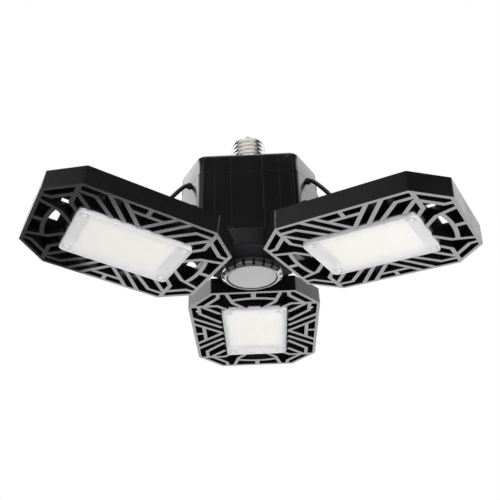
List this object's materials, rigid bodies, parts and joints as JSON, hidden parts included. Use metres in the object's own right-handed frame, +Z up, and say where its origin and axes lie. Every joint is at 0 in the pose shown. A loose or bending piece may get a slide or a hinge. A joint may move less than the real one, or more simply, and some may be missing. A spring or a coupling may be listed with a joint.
{
  "type": "deformable garage light",
  "caption": "Ceiling lamp with fold-out LED panels on friction hinges round a black driver housing, hung from an E26 screw cap; each panel has a cut-through grille and a milky lens.",
  "frame": {"origin": "tip of the centre contact of the E26 cap, on the lamp's axis", "axes": "+Z up along the lamp's axis, into the lampholder; the back panel points along +Y"},
  "size_m": [0.2924, 0.2586, 0.1344],
  "materials": {
    "gloss_black": "glossy black moulding",
    "panel_black": "black coated die casting with a bare, brushed lower face",
    "hinge_black": "black coated die casting",
    "bracket_steel": "black coated steel",
    "nickel": "nickel plated, bright",
    "insulator": "dark glazed",
    "bright_aluminium": "bright machined",
    "satin_aluminium": "satin",
    "screw_steel": "zinc plated",
    "milky_lens": "milky, faintly translucent",
    "board_white": "white solder mask",
    "led_phosphor": "yellow phosphor",
    "circuit_board": "green solder mask",
    "ferrite": "matt ferrite with tape",
    "capacitor_can": "sleeved can",
    "component_black": "matt",
    "wire_red": "wire insulation",
    "lead_black": "smooth black sheath",
    "black_rubber": "matt",
    "washer_nylon": "smooth"
  },
  "bodies": {
    "housing": {"screw_shell": "nickel", "cap_insulator": "insulator", "centre_contact": "nickel", "cap_collar": "gloss_black", "top_cover": "gloss_black", "cover_screws": "screw_steel", "driver_housing": "gloss_black", "driver_board": "circuit_board", "transformer": "ferrite", "capacitors": "capacitor_can", "board_parts": "component_black", "board_screws": "screw_steel", "input_leads": "wire_red", "lead_grommets": "black_rubber", "hub_neck": "gloss_black", "hub_screws": "screw_steel", "bezel_ring": "bright_aluminium", "end_disc": "satin_aluminium", "block_screws": "screw_steel", "hinge_block_back": "hinge_black", "hinge_block_left": "hinge_black", "hinge_block_right": "hinge_black", "lead_back": "lead_black", "lead_left": "lead_black", "lead_right": "lead_black"},
    "panel_back": {"panel_frame_back": "panel_black", "led_board_back": "board_white", "leds_back": "led_phosphor", "lens_back": "milky_lens", "lens_screws_back": "screw_steel", "hinge_bracket_back": "bracket_steel", "bracket_screws_back": "screw_steel", "hinge_bolt_back": "screw_steel", "hinge_nut_back": "screw_steel", "washers_back": "washer_nylon", "gland_back": "black_rubber"},
    "panel_left": {"panel_frame_left": "panel_black", "led_board_left": "board_white", "leds_left": "led_phosphor", "lens_left": "milky_lens", "lens_screws_left": "screw_steel", "hinge_bracket_left": "bracket_steel", "bracket_screws_left": "screw_steel", "hinge_bolt_left": "screw_steel", "hinge_nut_left": "screw_steel", "washers_left": "washer_nylon", "gland_left": "black_rubber"},
    "panel_right": {"panel_frame_right": "panel_black", "led_board_right": "board_white", "leds_right": "led_phosphor", "lens_right": "milky_lens", "lens_screws_right": "screw_steel", "hinge_bracket_right": "bracket_steel", "bracket_screws_right": "screw_steel", "hinge_bolt_right": "screw_steel", "hinge_nut_right": "screw_steel", "washers_right": "washer_nylon", "gland_right": "black_rubber"}
  },
  "joints": [
    {"name": "back_panel_hinge", "type": "hinge", "parent": "housing", "child": "panel_back", "pos_m": [0, 0.062, -0.1045], "axis": [1, 0, 0], "range_deg": [-1.5, 96.5], "deforming": ["lead_back"]},
    {"name": "left_panel_hinge", "type": "hinge", "parent": "housing", "child": "panel_left", "pos_m": [-0.05369, -0.031, -0.1045], "axis": [-0.5, 0.866, 0], "range_deg": [-15.5, 82.5], "deforming": ["lead_left"]},
    {"name": "right_panel_hinge", "type": "hinge", "parent": "housing", "child": "panel_right", "pos_m": [0.05369, -0.031, -0.1045], "axis": [-0.5, -0.866, 0], "range_deg": [-5, 93], "deforming": ["lead_right"]}
  ]
}
